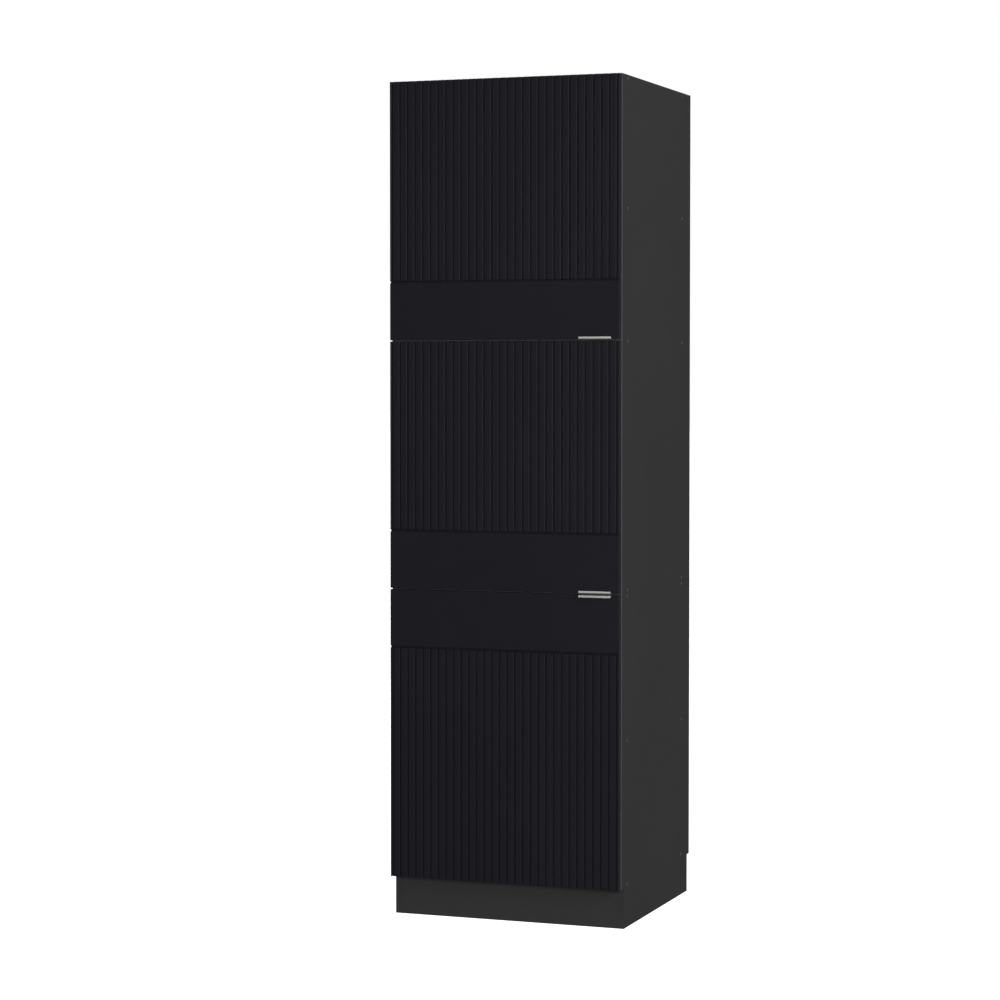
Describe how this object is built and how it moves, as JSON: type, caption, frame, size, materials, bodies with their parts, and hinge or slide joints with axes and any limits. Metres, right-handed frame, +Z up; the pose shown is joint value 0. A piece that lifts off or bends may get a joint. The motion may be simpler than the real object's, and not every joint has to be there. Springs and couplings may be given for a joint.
{
  "type": "pantry cabinet",
  "caption": "Tall narrow pantry cabinet of stacked board carcasses with fluted hinged doors, small edge pulls, inner shelves and a recessed toe board.",
  "frame": {"origin": "on the floor, at the middle of the cabinet's box in X and Y, edge pulls included", "axes": "+Z up, +Y towards the wall behind, +X to the right seen from the front; doors face -Y and are hung at -X"},
  "size_m": [0.6, 0.604, 2.074],
  "materials": {
    "carcass_board": "black melamine-faced chipboard, matt",
    "door_front": "blue-black lacquered board, matt, with cut lines",
    "back_board": "black lacquered hardboard",
    "satin_aluminium": "satin anodised",
    "hinge_steel": "nickel-plated pressed steel",
    "plated_steel": "zinc-plated",
    "black_screw": "blackened steel screw heads",
    "beech_dowel": "bare fluted beech",
    "bumper_rubber": "clear soft door buffer"
  },
  "bodies": {
    "carcass": {"lower_left_side": "carcass_board", "lower_right_side": "carcass_board", "lower_bottom_panel": "carcass_board", "lower_shelf": "carcass_board", "lower_top_panel": "carcass_board", "plinth_board": "carcass_board", "upper_left_side": "carcass_board", "upper_right_side": "carcass_board", "upper_bottom_panel": "carcass_board", "upper_middle_shelf": "carcass_board", "upper_top_shelf": "carcass_board", "upper_top_panel": "carcass_board", "adjustable_shelf": "carcass_board", "lower_back_panel": "back_board", "upper_back_panel": "back_board", "panel_dowels": "beech_dowel", "lower_joint_screws": "black_screw", "upper_joint_screws": "black_screw", "module_sleeve_nuts": "plated_steel", "module_bolts": "plated_steel", "back_panel_screws": "plated_steel", "shelf_pins": "plated_steel", "wall_brackets": "plated_steel", "wall_bracket_screws": "plated_steel", "top_hinge_arms": "hinge_steel", "top_hinge_plates": "hinge_steel", "top_plate_screws": "hinge_steel", "top_hinge_pins": "hinge_steel", "middle_hinge_arms": "hinge_steel", "middle_hinge_plates": "hinge_steel", "middle_plate_screws": "hinge_steel", "middle_hinge_pins": "hinge_steel", "bottom_hinge_arms": "hinge_steel", "bottom_hinge_plates": "hinge_steel", "bottom_plate_screws": "hinge_steel", "bottom_hinge_pins": "hinge_steel"},
    "top_door": {"top_door_panel": "door_front", "top_handle": "satin_aluminium", "top_handle_screws": "hinge_steel", "top_hinge_cups": "hinge_steel", "top_cup_screws": "hinge_steel", "top_door_bumpers": "bumper_rubber"},
    "top_links": {"top_hinge_links": "hinge_steel"},
    "middle_door": {"middle_door_panel": "door_front", "middle_handle": "satin_aluminium", "middle_handle_screws": "hinge_steel", "middle_hinge_cups": "hinge_steel", "middle_cup_screws": "hinge_steel", "middle_door_bumpers": "bumper_rubber"},
    "middle_links": {"middle_hinge_links": "hinge_steel"},
    "bottom_door": {"bottom_door_panel": "door_front", "bottom_handle": "satin_aluminium", "bottom_handle_screws": "hinge_steel", "bottom_hinge_cups": "hinge_steel", "bottom_cup_screws": "hinge_steel", "bottom_door_bumpers": "bumper_rubber"},
    "bottom_links": {"bottom_hinge_links": "hinge_steel"}
  },
  "joints": [
    {"name": "top_door_swing", "type": "hinge", "parent": "carcass", "child": "top_door", "pos_m": [-0.2935, -0.287, 1.7535], "axis": [0, 0, -1], "range_deg": [0, 110]},
    {"name": "top_link_turn", "type": "hinge", "parent": "carcass", "child": "top_links", "pos_m": [-0.2646, -0.2819, 1.7535], "axis": [0, 0, 1], "range_deg": [0, 39]},
    {"name": "middle_door_swing", "type": "hinge", "parent": "carcass", "child": "middle_door", "pos_m": [-0.2935, -0.287, 1.1255], "axis": [0, 0, -1], "range_deg": [0, 110]},
    {"name": "middle_link_turn", "type": "hinge", "parent": "carcass", "child": "middle_links", "pos_m": [-0.2646, -0.2819, 1.1255], "axis": [0, 0, 1], "range_deg": [0, 39]},
    {"name": "bottom_door_swing", "type": "hinge", "parent": "carcass", "child": "bottom_door", "pos_m": [-0.2935, -0.287, 0.4575], "axis": [0, 0, -1], "range_deg": [0, 110]},
    {"name": "bottom_link_turn", "type": "hinge", "parent": "carcass", "child": "bottom_links", "pos_m": [-0.2646, -0.2819, 0.4575], "axis": [0, 0, 1], "range_deg": [0, 39]}
  ],
  "couplings": [
    {"joint": "top_link_turn", "follows": "top_door_swing", "ratio": 0.35},
    {"joint": "middle_link_turn", "follows": "middle_door_swing", "ratio": 0.35},
    {"joint": "bottom_link_turn", "follows": "bottom_door_swing", "ratio": 0.35}
  ]
}
